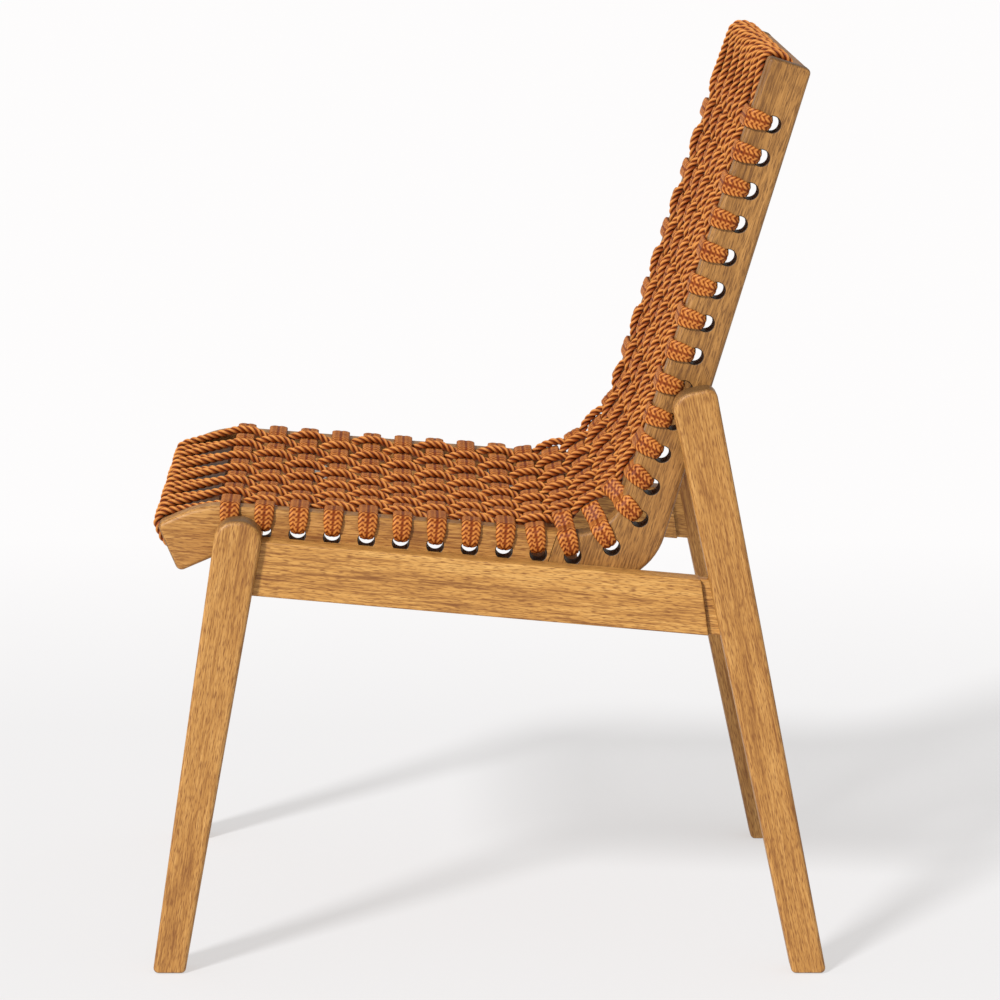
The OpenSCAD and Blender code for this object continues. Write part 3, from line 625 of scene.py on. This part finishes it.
# Distance round the section to each of its points, for the map, and the whole way round
around = np.concatenate([np.cumsum(np.hypot(np.diff(side_v, prepend=side_v[-1]) * 8.5,
                                            np.diff(side_h, prepend=side_h[-1]) * HALF_THICK)), [42.0]])
for k in range(STRAPS):
    right, left = strap_side(k, 1), strap_side(k, -1)
    chain = np.concatenate([left[::-1] * [-1, 1], right])
    run, path = smooth_path(chain, RING_GAP, STRAP_SOFT)
    out = across_path(path)
    # How far each point is bundled: flat on the weave, round from 38 to 16 mm before the end, where it turns
    # over the frame and into the hole, and flat again for the last 8 mm
    depth = run[-1] / 2 - np.abs(run - run[-1] / 2)
    bundle = np.clip((depth - 8) / 8, 0, 1) * np.clip((54 - depth) / 16, 0, 1)
    bundle = bundle * bundle * (3 - 2 * bundle)
    half_w = HALF_WIDE - 2.6 * bundle
    half_t = HALF_THICK + 0.6 * bundle
    v = side_v[None] * half_w[:, None]
    top = braid(run[:, None], v, np.where(side_h[None] >= 0, 0, 1))
    waist = 1 - 0.08 * np.exp(-(v / 2.2) ** 2) * (1 - bundle[:, None])
    thick = side_h[None] * half_t[:, None] * waist
    puff = 0.42 * top
    v = v * (1 + 0.035 * top * np.abs(side_v[None]) ** 4)
    thick = thick + np.sign(side_h[None]) * np.abs(side_h[None]) ** 0.5 * (puff - 0.15)
    up = weave_point(strap_t[k], 0) - hole_at[k]
    up /= np.linalg.norm(up)
    wide = np.array([up[1], -up[0]])
    x = path[:, 0, None] + out[:, 0, None] * thick
    h = path[:, 1, None] + out[:, 1, None] * thick
    rings = np.stack([x, hole_at[k][0] + up[0] * h + wide[0] * v, hole_at[k][1] + up[1] * h + wide[1] * v], 2)
    # The braid's height is its crown attribute, by which the finish paints shade into the creases and
    # highlight onto the crowns
    tube_piece(f"braided_strap_{k + 1:02d}", rings, 0.5 + 0.5 * top, run, around,
               f"strap_{k + 1:02d}", strap_twine)

# ---------------------------------------------------------------------------
# Ropes. Twelve three-strand laid ropes, 8 mm thick, from under the front
# bar over the seat and up the back, held taut over the crest bar.
# ---------------------------------------------------------------------------
rope_twine = twine("laid_twine_rope", "#220901", "#873C10", "#D18C46", 14.0)
# Each bar's depth and height, how far it lies inside the frame's edges, and the radius of its corners
FRONT_BAR, CREST_BAR, FRONT_INSET, CREST_INSET, BAR_R = (52.0, 24.0), (18.5, 34.0), 0.5, 1.5, 6.0
front_bar_at = (nose_start + (NOSE_RUN - FRONT_INSET) * nose_fwd
                - (FRONT_INSET + FRONT_BAR[1]) * nose_up)
crest_at = CORNER + (BACK_RUN - CREST_INSET - CREST_BAR[1]) * back_up - CREST_INSET * back_fwd
# LAY is the length of one full turn of the strands, and ROPE_WAVE half the step from over to under a strap
ROPE_R, LAY, ROPE_WAVE, ROPE_STEP, ROPE_SOFT, ROPE_SIDES = 4.0, 21.0, 3.5, 1.3, 2.6, 24


def arc(centre, radius, start, end):
    """Nine points on an arc, angles in degrees."""
    a = np.radians(np.linspace(start, end, 9))
    return centre + radius * np.stack([np.cos(a), np.sin(a)], 1)


def front(u, w):
    """A point in the front bar's section: u back from its front face and w up from its underside."""
    return front_bar_at - u * nose_fwd + w * nose_up


def crest(u, w):
    """The same in the crest bar's section."""
    return crest_at - u * back_fwd + w * back_up


nose_deg, lean_deg, wrap = math.degrees(NOSE), math.degrees(LEAN), BAR_R + ROPE_R
lobe = np.arange(ROPE_SIDES) / ROPE_SIDES * 2 * np.pi
fold = (lobe + np.pi / 3) % (2 * np.pi / 3) - np.pi / 3
# Three round strands side by side: the distance from the rope's middle to the outermost strand's surface
polar = ROPE_R * (0.5 * np.cos(fold) + np.sqrt(0.25 - 0.25 * np.sin(fold) ** 2))
# 0 in the creases, 1 on the crowns: by this the finish paints shade into the creases and highlight onto the
#                                    crowns
rope_crown = np.clip((polar / ROPE_R - 0.5) / 0.5, 0, 1)
rope_round = np.arange(ROPE_SIDES + 1) / ROPE_SIDES * 2 * np.pi * ROPE_R
for i in range(ROPES):
    lift = level[i] + np.where(rope_over[i], ROPE_WAVE, -ROPE_WAVE)
    # It stays at one height for 7.5 mm on each side of a strap's middle
    woven = weave_point((strap_t[:, None] + [-7.5, 7.5]).ravel(), np.repeat(lift, 2))
    chain = np.concatenate([
        [front(FRONT_BAR[0] - BAR_R, -ROPE_R)],
        arc(front(BAR_R, BAR_R), wrap, 270 + nose_deg, 180 + nose_deg),
        arc(front(BAR_R, FRONT_BAR[1] - BAR_R), wrap, 180 + nose_deg, 90 + nose_deg), woven,
        arc(crest(BAR_R, CREST_BAR[1] - BAR_R), wrap, 180 - lean_deg, 90 - lean_deg),
        arc(crest(CREST_BAR[0] - BAR_R, CREST_BAR[1] - BAR_R), wrap, 90 - lean_deg, -lean_deg),
        [crest(CREST_BAR[0] + ROPE_R, BAR_R)]])
    run, path = smooth_path(chain, ROPE_STEP, ROPE_SOFT)
    out = across_path(path)
    # Each rope starts its turns 0.7 radian on from its neighbour's
    twist = lobe[None] + i * 0.7 - run[:, None] / LAY * 2 * np.pi
    far = polar[None] * np.sin(twist)
    rings = np.stack([rope_x[i] + polar[None] * np.cos(twist), path[:, 0, None] + out[:, 0, None] * far,
                      path[:, 1, None] + out[:, 1, None] * far], 2)
    # Painted shade: the side that lies inwards is made darker still, as if no light reached it
    tube_piece(f"laid_rope_{i + 1:02d}", rings, rope_crown * (0.72 + 0.28 * np.sin(twist)), run, rope_round,
               f"rope_{i + 1:02d}", rope_twine)

# ---------------------------------------------------------------------------
# Studio. A plain pale floor, a white surround and one soft key light from
# the +X side and the front, with gentle shadows.
# ---------------------------------------------------------------------------
# Metres: half the floor's side, and its height, just under the feet
HALF_FLOOR, FLOOR_Z = 30.0, -0.0003
floor_mesh = bpy.data.meshes.new("studio_floor")
floor_mesh.from_pydata([(HALF_FLOOR * x, HALF_FLOOR * y, FLOOR_Z)
                        for x, y in ((-1, -1), (1, -1), (1, 1), (-1, 1))], [], [(0, 1, 2, 3)])
studio_floor = bpy.data.objects.new("studio_floor", floor_mesh)
bpy.context.scene.collection.objects.link(studio_floor)
painted = bpy.data.materials.new("matt_white_paint")
painted.use_nodes = True
tree = painted.node_tree
tree.nodes.clear()
# Grey paint with a steady glow, so that shadows stay pale. The glow grows behind the chair to a white
# distance
across_floor = add(tree, "ShaderNodeSeparateXYZ", i0=add(tree, "ShaderNodeTexCoord").outputs["Object"])
glow = add(tree, "ShaderNodeMapRange", [("From Min", -0.7), ("From Max", -1.8), ("To Min", 0.565),
                                        ("To Max", 0.66)], i0=across_floor.outputs["X"])
matt = add(tree, "ShaderNodeBsdfPrincipled",
           [("Base Color", (0.29, 0.29, 0.295, 1.0)), ("Roughness", 1.0),
            ("Specular IOR Level", 0.0), ("Emission Color", rgb("#FFFDFC"))])
tree.links.new(glow.outputs[0], matt.inputs["Emission Strength"])
add(tree, "ShaderNodeOutputMaterial", i0=matt.outputs[0])
floor_mesh.materials.append(painted)

world = bpy.data.worlds.new("white_studio")
bpy.context.scene.world = world
world.use_nodes = True
world.node_tree.nodes.clear()
ambient = add(world.node_tree, "ShaderNodeBackground", [("Color", (1.0, 1.0, 1.0, 1.0)), ("Strength", 0.5)])
seen = add(world.node_tree, "ShaderNodeBackground", [("Color", (1.0, 1.0, 1.0, 1.0)), ("Strength", 1.0)])
rays = add(world.node_tree, "ShaderNodeLightPath")
either = add(world.node_tree, "ShaderNodeMixShader", i0=rays.outputs["Is Camera Ray"],
             i1=ambient.outputs[0], i2=seen.outputs[0])
add(world.node_tree, "ShaderNodeOutputWorld", i0=either.outputs[0])

key = bpy.data.lights.new("key_softbox", "SUN")
key.energy = 3.5
key.angle = math.radians(10)
key_light = bpy.data.objects.new("key_softbox", key)
toward = np.array([0.661, -0.476, 0.55])
toward /= np.linalg.norm(toward)
beside = np.cross([0, 0, 1.0], toward)
beside /= np.linalg.norm(beside)
aim = np.eye(4)
aim[:3, 0], aim[:3, 1], aim[:3, 2] = beside, np.cross(toward, beside), toward
aim[:3, 3] = toward * 4
key_light.matrix_world = Matrix(aim.tolist())
bpy.context.scene.collection.objects.link(key_light)
bpy.context.scene.view_settings.view_transform = "Standard"
